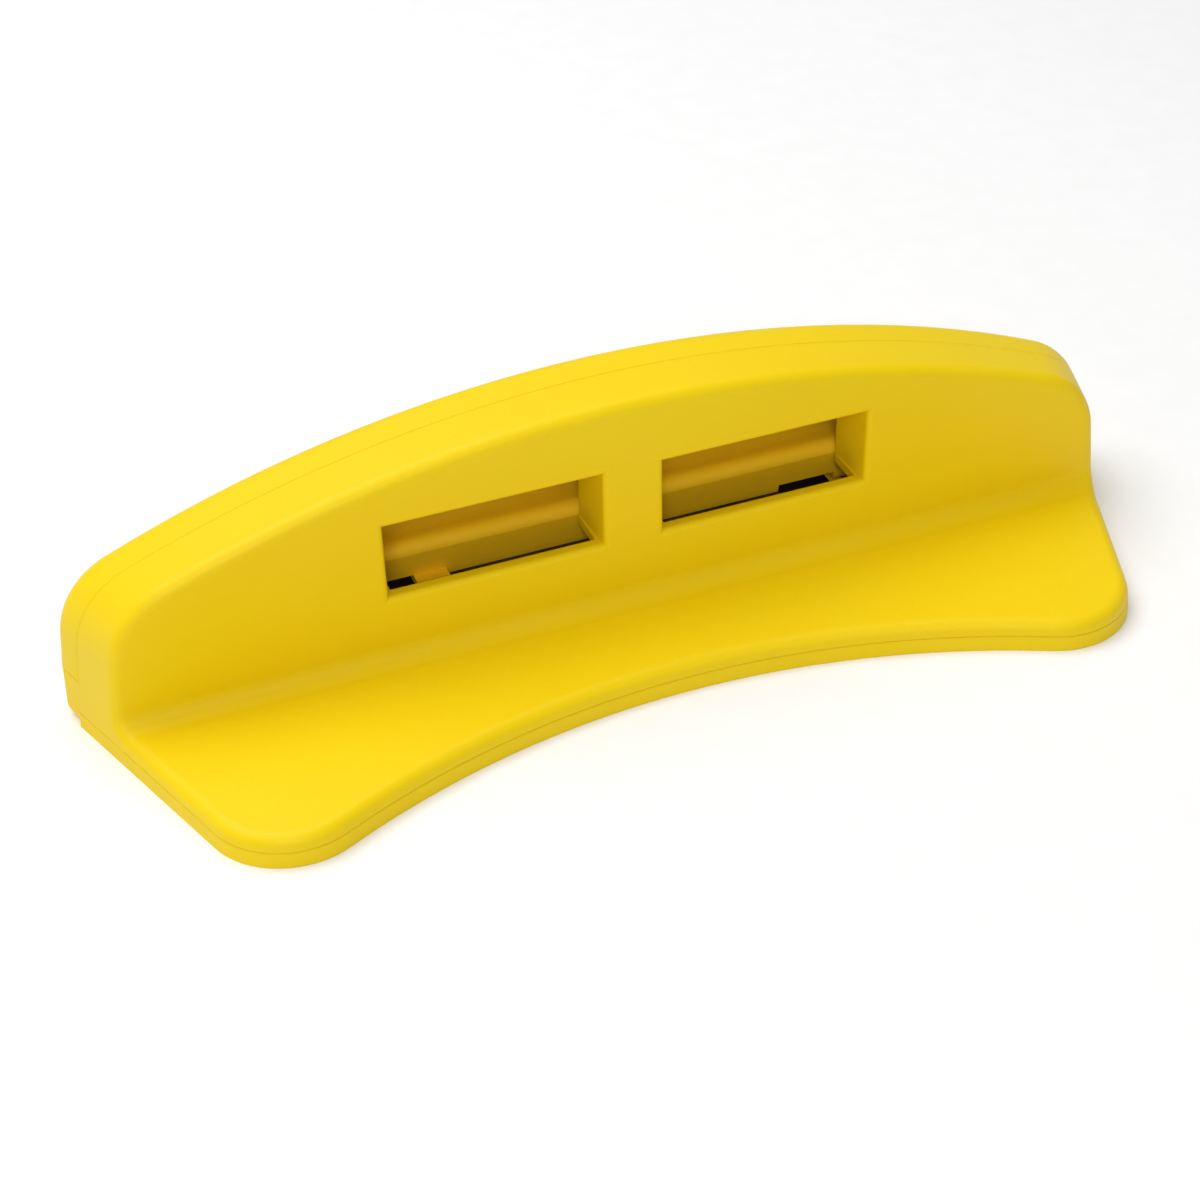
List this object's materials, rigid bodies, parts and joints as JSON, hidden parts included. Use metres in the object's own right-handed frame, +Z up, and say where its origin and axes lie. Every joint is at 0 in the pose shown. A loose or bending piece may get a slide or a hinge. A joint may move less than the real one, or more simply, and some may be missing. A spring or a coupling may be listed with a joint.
{
  "type": "edge tuning tool",
  "caption": "Hand-held sharpener for plastic ski scrapers: arched two-shell grip on a swept ledge, two chip windows, a clamped flat file above a blade channel in the underside.",
  "frame": {"origin": "on the flat underside, under the middle of the whole tool", "axes": "+X along the tool, to the right seen from the ledge; -Y towards the ledge's open front; +Z up"},
  "size_m": [0.2169, 0.0627, 0.0508],
  "materials": {
    "shell_plastic": "satin moulded, fine even surface",
    "bar_plastic": "satin moulded",
    "file_steel": "dark oiled cut steel",
    "screw_steel": "zinc plated",
    "pin_steel": "ground",
    "insert_brass": "knurled",
    "glide_plastic": "smooth white low-friction plastic",
    "spring_steel": "bright spring strip"
  },
  "bodies": {
    "root": {"front_shell": "shell_plastic", "base_cover": "shell_plastic", "rear_shell": "shell_plastic", "rear_guide": "shell_plastic", "file": "file_steel", "file_stop_left": "bar_plastic", "file_stop_right": "bar_plastic", "shell_screws": "screw_steel", "cover_screws": "screw_steel", "guide_screws": "screw_steel", "locating_pins": "pin_steel", "shell_inserts": "insert_brass", "guide_inserts": "insert_brass", "front_glide_strip": "glide_plastic", "rear_glide_strip": "glide_plastic", "lift_spring_left": "spring_steel", "lift_spring_right": "spring_steel"},
    "clamp_bar": {"clamp_bar": "bar_plastic", "clamp_nuts": "pin_steel"},
    "clamp_screw_left": {"clamp_screw_left": "screw_steel"},
    "clamp_screw_right": {"clamp_screw_right": "screw_steel"}
  },
  "joints": [
    {"name": "clamp_lift", "type": "slide", "parent": "root", "child": "clamp_bar", "axis": [0, 0, 1], "range_m": [0, 0.002], "deforming": ["lift_spring_left", "lift_spring_right"]},
    {"name": "left_screw_turn", "type": "hinge", "parent": "root", "child": "clamp_screw_left", "pos_m": [-0.059, 0.02546, 0], "axis": [0, 0, -1], "range_deg": [0, 1440]},
    {"name": "right_screw_turn", "type": "hinge", "parent": "root", "child": "clamp_screw_right", "pos_m": [0.059, 0.02546, 0], "axis": [0, 0, -1], "range_deg": [0, 1440]}
  ],
  "couplings": [
    {"joint": "left_screw_turn", "follows": "clamp_lift", "rad_per_m": 12566},
    {"joint": "right_screw_turn", "follows": "clamp_lift", "rad_per_m": 12566}
  ]
}
